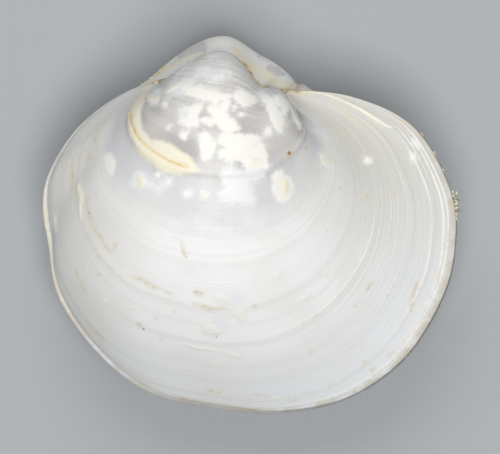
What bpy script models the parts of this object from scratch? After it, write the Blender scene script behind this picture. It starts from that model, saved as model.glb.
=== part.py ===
"""Parvilucina tenuisculpta, a small lucine clam shell with both valves closed, lying on its left valve.

Run with: blender --background --python part.py

Metres, +Z up. The origin is the middle of the small flat under the left valve, on which the shell rests.
+X is the front of the shell, along its hinge, and +Y is the hinge side, which the shell holds a little up.

Each valve is made the way it grew. Its margin was at first a small oval. It swung outwards about the hinge
axis while it widened, and ended as the present margin, where the two valves meet. A growth stage runs from
0 at the beak to 1 at the present margin, and the margin of every stage is one ring of the surface.
"""

import math

import bmesh
import bpy
import numpy as np
from mathutils import Matrix

MM = 0.001

# The present margin, in mm from the hinge axis under the beaks, as x to the front and y to the hinge side.
# It starts at the hinge's front end and goes round by the ventral edge. The two points at the rear with
# the most negative x and the one before them make the shallow notch of the posterior fold.
MARGIN_MM = (
    (0.40, -0.20), (2.30, -0.28), (3.85, -0.90), (4.85, -2.35), (5.08, -3.60), (4.90, -4.95), (4.10, -6.55),
    (2.80, -7.65), (1.20, -8.15), (-0.40, -8.15), (-2.00, -7.90), (-3.30, -7.05), (-4.35, -5.75),
    (-4.70, -4.45), (-4.90, -3.55), (-4.80, -2.75), (-4.15, -1.55), (-3.00, -0.55), (-1.80, -0.22),
)

# The young margin: an oval that hangs from the hinge axis
YOUNG_HALF_LENGTH = 4.7 * MM
YOUNG_DEPTH = 8.2 * MM
YOUNG_LEAN = -0.2 * MM
YOUNG_START = 0.36
HINGE_CLEARANCE = 0.2 * MM
YOUNG_FADE = 2.0

# How far the margin has swung about the hinge axis at a stage
COIL = 1.12
COIL_YOUNG = 0.38
COIL_LIMIT = math.radians(165)
COIL_SHARPNESS = 4

# How far the young shell sat to the rear of the present beak axis
REAR_SHIFT = 2.65 * MM
SHIFT_RISE = 0.85
SHIFT_FALL = 0.7

# The lunule: the heart-shaped hollow in front of the beaks
LUNULE_DEPTH = 0.80 * MM
LUNULE_HALF_LENGTH = 0.60 * MM
LUNULE_HALF_WIDTH = 1.55 * MM
LUNULE_FADE = 1.5 * MM

# Halts in growth, each as its stage and the height of the ledge that it left. A ledge rises over a run of
# stages up to its halt and then drops. It fades where a unit of stage covers less than the pace.
GROWTH_HALTS = (
    (0.45, 0.05 * MM), (0.70, 0.03 * MM), (0.79, 0.035 * MM), (0.90, 0.035 * MM), (0.955, 0.05 * MM),
)
LEDGE_RUN = 0.02
LEDGE_DROP = 0.006
LEDGE_PACE = 5.0 * MM

# The mesh of a valve's outside and of its hollow
COLUMNS = 68
HINGE_MIDDLE = 0.965
HINGE_CROWDING = 0.5
TIP_STAGE = 0.045
TIP_POLE = 0.02
TIP_ROWS = 10
STAGES_BETWEEN = (0.53, 0.61, 0.745, 0.845, 0.98, 1.0)
HOLLOW_COLUMNS = 32
HOLLOW_STAGES = (0.31, 0.33, 0.37, 0.43, 0.50, 0.58, 0.67, 0.77, 0.87, 0.96)
VAULT_START = 0.50
VAULT_END = 0.30

VALVE_GAP = 0.03 * MM
WALL = 0.40 * MM
HINGE_PLATE = 0.90 * MM
LEFT_OVERLAP = 1.01

# The ligament, as a path from behind the beaks along the hinge margin, in mm
LIGAMENT_MM = (
    (-0.95, -0.13), (-1.20, -0.15), (-1.50, -0.19), (-1.85, -0.26), (-2.20, -0.34), (-2.55, -0.45),
    (-2.80, -0.55), (-3.00, -0.65),
)
LIGAMENT_RADIUS = 0.21 * MM
LIGAMENT_SQUEEZE = 0.7
LIGAMENT_ENDS = 0.35
LIGAMENT_CLEARANCE = 0.02 * MM

# How the shell lies
TILT = math.radians(10.5)
FLAT_DEPTH = 0.1 * MM

# Material colours are sRGB
RIGHT_COLOUR = "e3e4e5"
LEFT_COLOUR = "dedcd8"
LIGAMENT_COLOUR = "8f7440"


def clear_scene():
    for thing in list(bpy.data.objects):
        bpy.data.objects.remove(thing, do_unlink=True)


def new_collection(name):
    collection = bpy.data.collections.new(name)
    bpy.context.scene.collection.children.link(collection)
    return collection


def linear(colour):
    """An sRGB hex colour as linear red, green, blue and alpha."""
    values = [int(colour[i:i + 2], 16) / 255 for i in (0, 2, 4)]
    return [v / 12.92 if v <= 0.04045 else ((v + 0.055) / 1.055) ** 2.4 for v in values] + [1.0]


def material(name, colour, roughness):
    made = bpy.data.materials.new(name)
    made.use_nodes = True
    shader = made.node_tree.nodes["Principled BSDF"]
    shader.inputs["Base Color"].default_value = linear(colour)
    shader.inputs["Roughness"].default_value = roughness
    shader.inputs["Metallic"].default_value = 0.0
    made.diffuse_color = linear(colour)
    return made


def way_round(count):
    """Shares of the way round a ring, closer together at the hinge."""
    even = np.arange(count) / count
    turn = 2 * math.pi
    return even - HINGE_CROWDING / turn * (np.sin(turn * (even - HINGE_MIDDLE)) + math.sin(turn * HINGE_MIDDLE))


def closed_curve(points, shares):
    """Points at the shares given of the way along a smooth closed curve through the points given."""
    steps = 24
    u = np.linspace(0, 1, steps, endpoint=False)[:, None]
    spans = []
    for i in range(len(points)):
        a, b, c, d = (points[(i + k) % len(points)] for k in (-1, 0, 1, 2))
        spans.append(b + 0.5 * u * (c - a + u * (2 * a - 5 * b + 4 * c - d + u * (3 * (b - c) + d - a))))
    fine = np.vstack(spans + [points[:1]])
    along = np.concatenate([[0], np.cumsum(np.linalg.norm(np.diff(fine, axis=0), axis=1))])
    wanted = shares * along[-1]
    return np.column_stack([np.interp(wanted, along, fine[:, k]) for k in (0, 1)])


def young_margin(shares):
    """The oval of the young shell, from the hinge's front end round to the same place."""
    angle = math.pi / 2 - YOUNG_START - 2 * math.pi * shares
    drop = (1 - np.sin(angle)) / 2
    x = YOUNG_LEAN * drop + YOUNG_HALF_LENGTH * np.cos(angle)
    y = -HINGE_CLEARANCE - (YOUNG_DEPTH - HINGE_CLEARANCE) * drop
    return np.column_stack([x, y])


def swing(stage):
    """The angle about the hinge axis through which the margin still had to swing at a stage."""
    turn = (COIL + COIL_YOUNG * (1 - stage)) * math.log(1 / stage) if stage < 1 else 1e-9
    return (turn ** -COIL_SHARPNESS + COIL_LIMIT ** -COIL_SHARPNESS) ** (-1 / COIL_SHARPNESS)


def ring(stage, count, scale=1.0):
    """The margin at a stage, flat in its own plane: x to the front and the distance from the hinge axis."""
    shares = way_round(count)
    grown = stage ** YOUNG_FADE
    shape = (1 - grown) * young_margin(shares) + grown * closed_curve(np.array(MARGIN_MM) * MM * scale, shares)
    shift = REAR_SHIFT * stage ** SHIFT_RISE * (1 - stage) ** SHIFT_FALL
    return stage * shape[:, 0] - shift, -stage * shape[:, 1]


def ledge_height(stage):
    """How far the growth halts lift the surface at a stage."""
    return sum(lip * math.exp((stage - halt) / LEDGE_RUN) for halt, lip in GROWTH_HALTS if stage <= halt)


def with_ledges(grid, stages, side):
    """A valve's grid of points, one row for each stage, with the growth ledges raised from it."""
    growth = np.gradient(grid, stages, axis=0)
    along = np.roll(grid, -1, axis=1) - np.roll(grid, 1, axis=1)
    along /= np.linalg.norm(along, axis=2, keepdims=True)
    out = side * np.cross(along, growth)
    pace = np.linalg.norm(out, axis=2, keepdims=True)
    heights = np.array([ledge_height(stage) for stage in stages])[:, None, None]
    return grid + heights * np.clip(pace / LEDGE_PACE, 0, 1) * out / pace


def ring_middle(x, away):
    return (x.min() + x.max()) / 2, (away.min() + away.max()) / 2


def place(x, away, stage, side):
    """A ring of a valve in space, with the lunule sunk. side is 1 for the right valve and -1 for the left."""
    angle = swing(stage)
    y = -away * math.cos(angle)
    z = away * math.sin(angle) + VALVE_GAP / 2
    sunk = np.exp(-(x / LUNULE_HALF_LENGTH) ** 2 - (z / LUNULE_HALF_WIDTH) ** 2
                  - (np.minimum(y, 0) / LUNULE_FADE) ** 2)
    return np.column_stack([x, y - LUNULE_DEPTH * sunk, side * z])


def growth_stages():
    """The stages of the outside's rings: even turns in the beak, then the halts and what lies between."""
    tip = list(np.geomspace(TIP_STAGE, GROWTH_HALTS[0][0] - 2 * LEDGE_RUN, TIP_ROWS))
    halts = [s for halt, _ in GROWTH_HALTS for s in (halt - LEDGE_RUN, halt, halt + LEDGE_DROP)]
    return sorted(tip + halts + list(STAGES_BETWEEN))


def stacked_rings(name, rings, first_pole, last_pole):
    """A closed mesh: a UV sphere whose parallels become the rings and whose poles become the two points."""
    columns = len(rings[0])
    segments = len(rings) + 1
    mesh = bmesh.new()
    bmesh.ops.create_uvsphere(mesh, u_segments=columns, v_segments=segments, radius=1)
    for vertex in mesh.verts:
        row = round(math.acos(max(-1, min(1, vertex.co.z))) / math.pi * segments)
        column = round(math.atan2(vertex.co.y, vertex.co.x) / (2 * math.pi) * columns) % columns
        if row == 0:
            vertex.co = first_pole
        elif row == segments:
            vertex.co = last_pole
        else:
            vertex.co = rings[row - 1][column]
    if mesh.calc_volume(signed=True) < 0:
        bmesh.ops.reverse_faces(mesh, faces=mesh.faces)
    data = bpy.data.meshes.new(name)
    mesh.to_mesh(data)
    mesh.free()
    return bpy.data.objects.new(name, data)


def pole(stage, side, scale):
    """The middle of a ring, in space."""
    x, away = ring(stage, HOLLOW_COLUMNS, scale)
    mid_x, mid_away = ring_middle(x, away)
    return place(np.array([mid_x]), np.array([mid_away]), stage, side)[0]


def valve_outside(name, side, scale):
    stages = growth_stages()
    grid = np.array([place(*ring(stage, COLUMNS, scale), stage, side) for stage in stages])
    rings = with_ledges(grid, stages, side)
    return stacked_rings(name, rings, pole(TIP_POLE, side, scale), pole(1.0, side, scale))


def hollow_ring(stage, side, scale):
    """The inside of the valve at a stage: a wall's thickness within the outside, and more at the hinge."""
    x, away = ring(stage, HOLLOW_COLUMNS, scale)
    mid_x, mid_away = ring_middle(x, away)
    length = np.hypot(x - mid_x, away - mid_away)
    wall = WALL + (HINGE_PLATE - WALL) * np.exp(-(away / stage / HINGE_PLATE) ** 2)
    keep = 1 - np.minimum(wall / length, 0.6)
    rounding = max(0.0, VAULT_START - stage) / (VAULT_START - VAULT_END)
    keep = keep * math.sqrt(1 - rounding ** 2)
    return place(mid_x + keep * (x - mid_x), mid_away + keep * (away - mid_away), stage, side)


def valve_hollow(name, side, scale):
    """The cutter for the bowl of a valve, which runs out through the plane where the valves meet."""
    rings = [hollow_ring(stage, side, scale) for stage in HOLLOW_STAGES]
    past_plane = np.array([0, 0, -side * WALL])
    rings.append(hollow_ring(1.0, side, scale) + past_plane)
    return stacked_rings(name, rings, pole(VAULT_END, side, scale), pole(1.0, side, scale) + past_plane)


def ligament_body(name, radius):
    """The ligament's spindle as a mesh of the radius given."""
    curve = bpy.data.curves.new(name, "CURVE")
    curve.dimensions = "3D"
    curve.bevel_depth = radius
    curve.bevel_resolution = 3
    curve.use_fill_caps = True
    path = np.array(LIGAMENT_MM) * MM
    spline = curve.splines.new("POLY")
    spline.points.add(len(path) - 1)
    for i, point in enumerate(spline.points):
        point.co = (path[i][0], path[i][1], 0, 1)
        at_end = abs(2 * i / (len(path) - 1) - 1) ** 2
        point.radius = 1 - (1 - LIGAMENT_ENDS) * at_end
    guide = bpy.data.objects.new(name + "_guide", curve)
    bpy.context.scene.collection.objects.link(guide)
    bpy.context.view_layer.update()
    evaluated = guide.evaluated_get(bpy.context.evaluated_depsgraph_get())
    data = bpy.data.meshes.new_from_object(evaluated)
    data.name = name
    welded = bmesh.new()
    welded.from_mesh(data)
    bmesh.ops.remove_doubles(welded, verts=welded.verts, dist=0.001 * MM)
    bmesh.ops.scale(welded, vec=(1, 1, LIGAMENT_SQUEEZE), verts=welded.verts)
    bmesh.ops.recalc_face_normals(welded, faces=welded.faces)
    welded.to_mesh(data)
    welded.free()
    body = bpy.data.objects.new(name, data)
    bpy.data.objects.remove(guide, do_unlink=True)
    return body


def resting_flat(name):
    """The box that takes the flat off the left valve. Its upper face is the floor."""
    size = 4 * MM
    mesh = bmesh.new()
    bmesh.ops.create_cube(mesh, size=size)
    bmesh.ops.translate(mesh, verts=mesh.verts, vec=(0, 0, -size / 2))
    data = bpy.data.meshes.new(name)
    mesh.to_mesh(data)
    mesh.free()
    return bpy.data.objects.new(name, data)


def cut(piece, cutter):
    boolean = piece.modifiers.new(cutter.name, "BOOLEAN")
    boolean.operation = "DIFFERENCE"
    boolean.solver = "EXACT"
    boolean.object = cutter


def lay_down(left_valve):
    """An empty that holds the shell: tilted, its lowest point a little under the floor, the flat at the origin."""
    mesh = bmesh.new()
    mesh.from_mesh(left_valve.data)
    bmesh.ops.rotate(mesh, verts=mesh.verts, matrix=Matrix.Rotation(TILT, 3, "X"))
    floor = min(vertex.co.z for vertex in mesh.verts) + FLAT_DEPTH
    whole = [*mesh.verts, *mesh.edges, *mesh.faces]
    sliced = bmesh.ops.bisect_plane(mesh, geom=whole, plane_co=(0, 0, floor), plane_no=(0, 0, 1))
    rim = np.array([part.co for part in sliced["geom_cut"] if isinstance(part, bmesh.types.BMVert)])
    mesh.free()
    middle = (rim.min(axis=0) + rim.max(axis=0)) / 2
    frame = bpy.data.objects.new("shell_lie", None)
    frame.rotation_euler = (TILT, 0, 0)
    frame.location = -middle
    return frame


def hide_cutter(cutter):
    cutter.hide_render = True
    cutter.display_type = "WIRE"


def build():
    clear_scene()
    shell = new_collection("parvilucina_shell")
    cutters = new_collection("cutters")

    right = valve_outside("right_valve", 1, 1.0)
    left = valve_outside("left_valve", -1, LEFT_OVERLAP)
    ligament = ligament_body("ligament", LIGAMENT_RADIUS)
    for piece in (right, left, ligament):
        shell.objects.link(piece)

    right_hollow = valve_hollow("right_hollow", 1, 1.0)
    left_hollow = valve_hollow("left_hollow", -1, LEFT_OVERLAP)
    groove = ligament_body("ligament_groove", LIGAMENT_RADIUS + LIGAMENT_CLEARANCE)
    floor = resting_flat("resting_flat")
    for cutter in (right_hollow, left_hollow, groove, floor):
        cutters.objects.link(cutter)
        hide_cutter(cutter)

    frame = lay_down(left)
    shell.objects.link(frame)
    for piece in (right, left, ligament, right_hollow, left_hollow, groove):
        piece.parent = frame

    cut(right, groove)
    cut(right, right_hollow)
    cut(left, floor)
    cut(left, groove)
    cut(left, left_hollow)

    right.data.materials.append(material("aragonite_right", RIGHT_COLOUR, 0.38))
    left.data.materials.append(material("aragonite_left", LEFT_COLOUR, 0.42))
    ligament.data.materials.append(material("conchiolin_ligament", LIGAMENT_COLOUR, 0.55))
    for piece in (right, left, ligament):
        piece.data.shade_smooth()
        piece.data.set_sharp_from_angle(angle=math.radians(40))


build()
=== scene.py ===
"""A small lucine clam shell with both valves closed, lying on its left valve, seen from above.

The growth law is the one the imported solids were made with, drawn here with many more rings, and with the
fine threads, ledges, chalk patches and stains that the solids leave out.
"""

import math

import bmesh
import bpy
import numpy as np
from mathutils import Matrix, Vector, noise


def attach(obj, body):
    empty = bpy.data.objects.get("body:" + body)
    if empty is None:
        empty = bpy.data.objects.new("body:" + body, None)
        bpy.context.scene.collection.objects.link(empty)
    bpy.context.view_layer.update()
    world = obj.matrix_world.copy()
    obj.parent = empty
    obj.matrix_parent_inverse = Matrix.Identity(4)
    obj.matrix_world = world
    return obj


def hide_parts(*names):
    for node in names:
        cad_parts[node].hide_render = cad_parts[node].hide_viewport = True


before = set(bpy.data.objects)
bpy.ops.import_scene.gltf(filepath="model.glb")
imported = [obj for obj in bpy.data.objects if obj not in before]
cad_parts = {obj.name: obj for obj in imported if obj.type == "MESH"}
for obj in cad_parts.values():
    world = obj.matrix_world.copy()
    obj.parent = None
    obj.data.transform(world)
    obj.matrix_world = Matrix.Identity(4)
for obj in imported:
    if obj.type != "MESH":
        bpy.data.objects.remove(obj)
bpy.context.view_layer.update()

MM = 0.001

# ---- how the shell grew

# The present margin in mm from the hinge axis: x to the front, y to the hinge side
MARGIN_MM = (
    (0.40, -0.20), (2.30, -0.28), (3.85, -0.90), (4.85, -2.35), (5.08, -3.60), (4.90, -4.95), (4.10, -6.55),
    (2.80, -7.65), (1.20, -8.15), (-0.40, -8.15), (-2.00, -7.90), (-3.30, -7.05), (-4.35, -5.75),
    (-4.70, -4.45), (-4.90, -3.55), (-4.80, -2.75), (-4.15, -1.55), (-3.00, -0.55), (-1.80, -0.22),
)

# The young margin in mm: an oval that hangs from the hinge axis. It gives way to the present one as the stage
# to the power YOUNG_FADE.
YOUNG_HALF_LENGTH = 4.7
YOUNG_DEPTH = 8.2
YOUNG_LEAN = -0.2
YOUNG_START = 0.36
HINGE_CLEARANCE = 0.2
YOUNG_FADE = 2.0

# How far the margin has swung about the hinge axis at a stage
COIL = 1.12
COIL_YOUNG = 0.38
COIL_LIMIT = math.radians(165)
COIL_SHARPNESS = 4

# How far in mm the young shell sat to the rear of the present beak axis
REAR_SHIFT = 2.65
SHIFT_RISE = 0.85
SHIFT_FALL = 0.7

# The gap in mm between the closed valves, and the left one's size against the right one's
VALVE_GAP = 0.03
LEFT_OVERLAP = 1.01

# Where the hinge side of the right (1) and left (-1) valve is sunk, or raised if negative: how deep,
# the middle in x, and the reach in x, z and y, all in mm. The first of each is the lunule.
SUNK = {
    1: ((0.80, 0.0, 0.60, 1.55, 1.5), (0.30, 0.10, 0.34, 3.0, 1.6), (-0.19, 0.73, 0.23, 0.6, 0.8)),
    -1: ((0.76, -0.03, 0.57, 1.55, 1.5), (-0.24, 0.95, 0.30, 2.5, 1.2)),
}

# How far in mm the right valve's margin stands back from where it grew to, by share of the way round, or is
# proud of it if negative. Before the margin this fades as the stage to the power STAND_BACK_FADE.
STAND_BACK = (
    (0.0, 0.0), (0.06, -0.04), (0.40, -0.05), (0.48, 0.0), (0.58, 0.03), (0.66, 0.04), (0.700, 0.09),
    (0.714, 0.14), (0.728, 0.10), (0.746, 0.12), (0.765, 0.08), (0.80, 0.03), (0.86, 0.0), (1.0, 0.0),
)
STAND_BACK_FADE = 12

# The inside, which the closed valves hide: the wall's thickness in mm, what it is at the hinge, the most of
# the way to the middle that it takes, and the stages between which the bowl's end is rounded
WALL = 0.40
HINGE_PLATE = 0.90
MOST_WALL = 0.6
VAULT_START = 0.50
VAULT_END = 0.30
HOLLOW_STAGES = (1.0, 0.96, 0.87, 0.77, 0.67, 0.58, 0.50, 0.43, 0.37, 0.33, 0.31)

# How it lies: the tilt about X, and where the hinge axis under the beaks is, in mm
TILT = math.radians(10.5)
HINGE_AT = Vector((0.918, 2.688, 3.586))

# Halts in growth: the stage of each and the height in mm of the ledge that it left. A ledge rises over a run
# of stages up to its halt and then drops. It fades where a unit of stage covers less than the pace in mm.
LEDGES = ((0.45, 0.035), (0.70, 0.008), (0.79, 0.006), (0.90, 0.008), (0.955, 0.012))
LEDGE_RUN = 0.02
LEDGE_DROP = 0.012
LEDGE_PACE = 5.0
LEDGE_WANDER = 0.0025

# Thin raised threads: the stage, the height in mm, and the share of the way round where each is strongest,
# with how far it runs to both sides of that. From the full height on, in mm, its colour is full too.
THREADS = (
    (0.610, 0.004, 0.30, 0.16), (0.655, 0.005, 0.32, 0.14), (0.705, 0.006, 0.60, 0.10),
    (0.735, 0.006, 0.70, 0.10), (0.747, 0.006, 0.31, 0.08), (0.786, 0.008, 0.30, 0.09),
    (0.795, 0.005, 0.23, 0.05), (0.800, 0.005, 0.68, 0.12), (0.811, 0.005, 0.28, 0.09),
    (0.838, 0.007, 0.24, 0.09), (0.862, 0.005, 0.25, 0.08), (0.865, 0.005, 0.68, 0.14),
    (0.891, 0.007, 0.22, 0.09), (0.905, 0.006, 0.66, 0.14), (0.926, 0.005, 0.25, 0.10),
    (0.940, 0.006, 0.62, 0.18), (0.953, 0.016, 0.22, 0.10), (0.962, 0.007, 0.57, 0.22),
    (0.967, 0.010, 0.145, 0.035), (0.979, 0.010, 0.23, 0.11), (0.987, 0.010, 0.34, 0.30),
    (0.994, 0.007, 0.45, 0.40),
)
THREAD_WIDTH = 0.0023
THREAD_WANDER = 0.0016
FULL_THREAD = 0.009

# The mesh: how many points go to a ring, where and how much they crowd at the hinge, and the stages of the
# beak's tip and first ring
COLUMNS = 330
HINGE_MIDDLE = 0.965
HINGE_CROWDING = 0.25
BEAK_TIP = 0.012
BEAK_START = 0.02


def way_round(count):
    """Shares of the way round a ring, a little closer together at the hinge."""
    even = np.arange(count) / count
    turn = 2 * math.pi
    crowd = np.sin(turn * (even - HINGE_MIDDLE)) + math.sin(turn * HINGE_MIDDLE)
    return even - HINGE_CROWDING / turn * crowd


def closed_curve(points, shares):
    """Points at the shares given of the way along a smooth closed curve through the points given."""
    steps = 24
    u = np.linspace(0, 1, steps, endpoint=False)[:, None]
    spans = []
    for i in range(len(points)):
        a, b, c, d = (points[(i + k) % len(points)] for k in (-1, 0, 1, 2))
        spans.append(b + 0.5 * u * (c - a + u * (2 * a - 5 * b + 4 * c - d + u * (3 * (b - c) + d - a))))
    fine = np.vstack(spans + [points[:1]])
    along = np.concatenate([[0], np.cumsum(np.linalg.norm(np.diff(fine, axis=0), axis=1))])
    wanted = shares * along[-1]
    return np.column_stack([np.interp(wanted, along, fine[:, k]) for k in (0, 1)])


def young_margin(shares):
    """The oval of the young shell, from the hinge's front end round to the same place."""
    angle = math.pi / 2 - YOUNG_START - 2 * math.pi * shares
    drop = (1 - np.sin(angle)) / 2
    x = YOUNG_LEAN * drop + YOUNG_HALF_LENGTH * np.cos(angle)
    y = -HINGE_CLEARANCE - (YOUNG_DEPTH - HINGE_CLEARANCE) * drop
    return np.column_stack([x, y])


def swing(stage):
    """The angle about the hinge axis through which the margin still had to swing at a stage."""
    turn = (COIL + COIL_YOUNG * (1 - stage)) * math.log(1 / stage) if stage < 1 else 1e-9
    return (turn ** -COIL_SHARPNESS + COIL_LIMIT ** -COIL_SHARPNESS) ** (-1 / COIL_SHARPNESS)


def ring_middle(x, away):
    return (x.min() + x.max()) / 2, (away.min() + away.max()) / 2


def ring(stage, shares, side):
    """The margin at a stage, flat in its own plane: x to the front and the distance from the hinge axis."""
    grown = stage ** YOUNG_FADE
    size = 1.0 if side > 0 else LEFT_OVERLAP
    shape = (1 - grown) * young_margin(shares) + grown * closed_curve(np.array(MARGIN_MM) * size, shares)
    shift = REAR_SHIFT * stage ** SHIFT_RISE * (1 - stage) ** SHIFT_FALL
    x, away = stage * shape[:, 0] - shift, -stage * shape[:, 1]
    if side > 0:
        mid_x, mid_away = ring_middle(x, away)
        length = np.hypot(x - mid_x, away - mid_away)
        keep = 1 - np.interp(shares, *np.array(STAND_BACK).T) * stage ** STAND_BACK_FADE / length
        x, away = mid_x + keep * (x - mid_x), mid_away + keep * (away - mid_away)
    return x, away


def place(x, away, stage, side):
    """A ring of a valve in space, its hinge side sunk. The side is 1 for the right valve, -1 for the left."""
    angle = swing(stage)
    y = -away * math.cos(angle)
    z = away * math.sin(angle) + VALVE_GAP / 2
    sunk = np.zeros_like(y)
    for deep, middle, reach_x, reach_z, reach_y in SUNK[side]:
        sunk += deep * np.exp(-((x - middle) / reach_x) ** 2 - (z / reach_z) ** 2
                              - (np.minimum(y, 0) / reach_y) ** 2)
    return np.column_stack([x, y - sunk, side * z])


def pole(stage, side):
    """The middle of a ring, in space."""
    x, away = ring(stage, np.linspace(0, 1, 60, endpoint=False), side)
    mid_x, mid_away = ring_middle(x, away)
    return place(np.array([mid_x]), np.array([mid_away]), stage, side)[0]


def hollow_ring(stage, shares, side):
    """The inside of the valve at a stage: a wall's thickness within the outside, and more at the hinge."""
    x, away = ring(stage, shares, side)
    mid_x, mid_away = ring_middle(x, away)
    length = np.hypot(x - mid_x, away - mid_away)
    wall = WALL + (HINGE_PLATE - WALL) * np.exp(-(away / stage / HINGE_PLATE) ** 2)
    keep = 1 - np.minimum(wall / length, MOST_WALL)
    rounding = max(0.0, VAULT_START - stage) / (VAULT_START - VAULT_END)
    keep = keep * math.sqrt(1 - rounding ** 2)
    return place(mid_x + keep * (x - mid_x), mid_away + keep * (away - mid_away), stage, side)


# ---- marks on the shell

# Each mark is a point or a line of points: mm to the right of and above the hinge axis as the camera sees it,
# with the mark's half-width there. The noise that moves their edges is given as how far it moves them, and
# over what length, both in mm.

# Patches that have turned to chalk
CHALK = (
    ((-1.76, -0.23, 0.068), (-1.49, -0.34, 0.127), (-1.22, -0.44, 0.146), (-0.98, -0.5, 0.137),
     (-0.71, -0.5, 0.078)),
    ((-0.44, -0.45, 0.146), (-0.27, -0.55, 0.176), (-0.12, -0.54, 0.107)), (-0.56, -0.76, 0.049),
    (-0.4, -0.91, 0.073), (-1.78, -1.38, 0.107), (0.25, -1.29, 0.098), (-2.11, -1.2, 0.049),
    (-2.2, -0.65, 0.049),
    ((-1.44, -0.73, 0.137), (-1.56, -0.85, 0.146), (-1.55, -1.07, 0.146), (-1.8, -1.05, 0.068)),
    ((-1.07, -0.78, 0.127), (-0.93, -0.98, 0.176), (-0.68, -1.17, 0.195), (-0.51, -1.24, 0.098)),
    ((-0.8, -0.73, 0.127), (-0.71, -0.61, 0.068)), ((-1.27, -1.05, 0.107), (-1.1, -1.1, 0.098)),
    ((-1.29, -1.44, 0.127), (-1.22, -1.66, 0.176), (-1.22, -1.88, 0.127), (-1.07, -1.63, 0.078)),
    ((-0.8, -1.51, 0.156), (-0.44, -1.61, 0.234), (-0.15, -1.54, 0.166), (-0.02, -1.49, 0.107)),
    ((-0.83, -1.83, 0.098), (-0.63, -1.85, 0.176), (-0.24, -1.83, 0.195), (0.05, -1.85, 0.127)),
    ((0.05, -1.68, 0.117), (0.12, -2.02, 0.117), (0.22, -2.13, 0.059)),
    ((-0.29, -2.02, 0.137), (0.0, -2.1, 0.098)),
    ((0.14, -0.47, 0.078), (0.29, -0.62, 0.146), (0.41, -0.85, 0.166), (0.49, -1.09, 0.156),
     (0.54, -1.27, 0.068)),
    ((0.49, -0.54, 0.107), (0.68, -0.63, 0.098), (0.64, -0.85, 0.088)),
    ((0.76, -0.66, 0.049), (0.84, -0.88, 0.044), (0.95, -1.07, 0.039), (0.99, -1.23, 0.029)),
    ((0.49, -2.44, 0.166), (0.61, -2.63, 0.283), (0.63, -2.8, 0.205)),
    ((-2.1, -0.29, 0.068), (-1.9, -0.18, 0.059)), (-2.15, -2.51, 0.068), (-1.71, -2.8, 0.068),
    (-1.28, -2.81, 0.059), (-2.37, -2.37, 0.068),
    ((1.62, -1.9, 0.117), (1.7, -1.98, 0.176), (1.77, -2.05, 0.117)), (2.66, -1.96, 0.083),
    ((3.71, -1.84, 0.049), (3.78, -1.88, 0.083), (3.88, -1.92, 0.034)),
    ((-3.63, -1.94, 0.122), (-3.59, -2.07, 0.152), (-3.56, -2.23, 0.104)), (-3.7, -5.34, 0.055),
    (-2.7, -4.73, 0.055), (-1.35, -5.09, 0.098), ((-0.94, -5.29, 0.122), (-0.74, -5.34, 0.061)),
    (-3.02, -5.52, 0.055), (-0.44, -5.61, 0.122), ((-1.17, -6.05, 0.159), (-0.98, -6.1, 0.085)),
    ((-4.95, -3.38, 0.043), (-4.9, -3.66, 0.037)),
    ((-1.76, -6.44, 0.03), (-1.54, -6.48, 0.049), (-1.35, -6.56, 0.049), (-1.22, -6.54, 0.037),
     (-1.08, -6.6, 0.043)),
    ((-0.84, -6.6, 0.037), (-0.68, -6.68, 0.049), (-0.44, -6.72, 0.049)),
    ((-1.05, -6.89, 0.03), (-0.87, -6.95, 0.024)), (-0.57, -7.07, 0.03),
    ((-0.68, -6.66, 0.049), (-0.51, -6.7, 0.049), (-0.41, -6.74, 0.03)), (0.48, -4.76, 0.085),
    (1.63, -4.7, 0.055), (1.91, -4.6, 0.03),
    ((0.93, -5.38, 0.043), (1.15, -5.27, 0.061), (1.22, -5.23, 0.037)),
    ((-0.61, -5.64, 0.073), (-0.41, -5.78, 0.085)), (0.66, -5.46, 0.055),
    ((0.38, -7.8, 0.03), (0.46, -7.79, 0.037)), (2.4, -6.07, 0.03),
)
# Crusts of cream: the arc behind the cap, and spots
CREAM = (
    ((-2.54, 0.03, 0.078), (-2.63, -0.12, 0.083), (-2.77, -0.37, 0.098), (-2.89, -0.61, 0.127),
     (-2.96, -0.85, 0.146), (-2.96, -1.1, 0.161), (-2.9, -1.37, 0.185), (-2.77, -1.59, 0.205),
     (-2.59, -1.78, 0.22), (-2.34, -1.98, 0.234), (-2.1, -2.1, 0.234), (-1.85, -2.18, 0.185),
     (-1.63, -2.21, 0.127), (-1.44, -2.24, 0.059)),
    ((-2.46, -1.61, 0.127), (-2.2, -1.72, 0.146), (-1.95, -1.85, 0.146), (-1.73, -2.0, 0.127),
     (-1.52, -2.15, 0.068)),
    ((0.62, -2.56, 0.117), (0.64, -2.68, 0.107)), ((-2.82, -2.42, 0.098), (-2.78, -2.56, 0.098)),
    ((-2.63, -0.46, 0.068), (-2.41, -0.54, 0.059)),
    ((-4.33, -2.57, 0.061), (-4.29, -2.74, 0.091), (-4.27, -2.93, 0.073), (-4.29, -3.11, 0.061),
     (-4.27, -3.38, 0.049)),
    ((0.05, -2.02, 0.049), (-0.15, -2.1, 0.039)), ((1.68, -1.95, 0.068), (1.72, -2.0, 0.059)),
)
# The raised ridge beside the lunule
RIDGE = (
    ((1.07, -0.28, 0.029), (1.37, -0.31, 0.039), (1.66, -0.37, 0.044), (1.95, -0.47, 0.049),
     (2.24, -0.6, 0.054), (2.49, -0.73, 0.059), (2.73, -0.88, 0.063), (2.93, -1.01, 0.063),
     (3.1, -1.12, 0.054), (3.26, -1.17, 0.029)),
)
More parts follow.
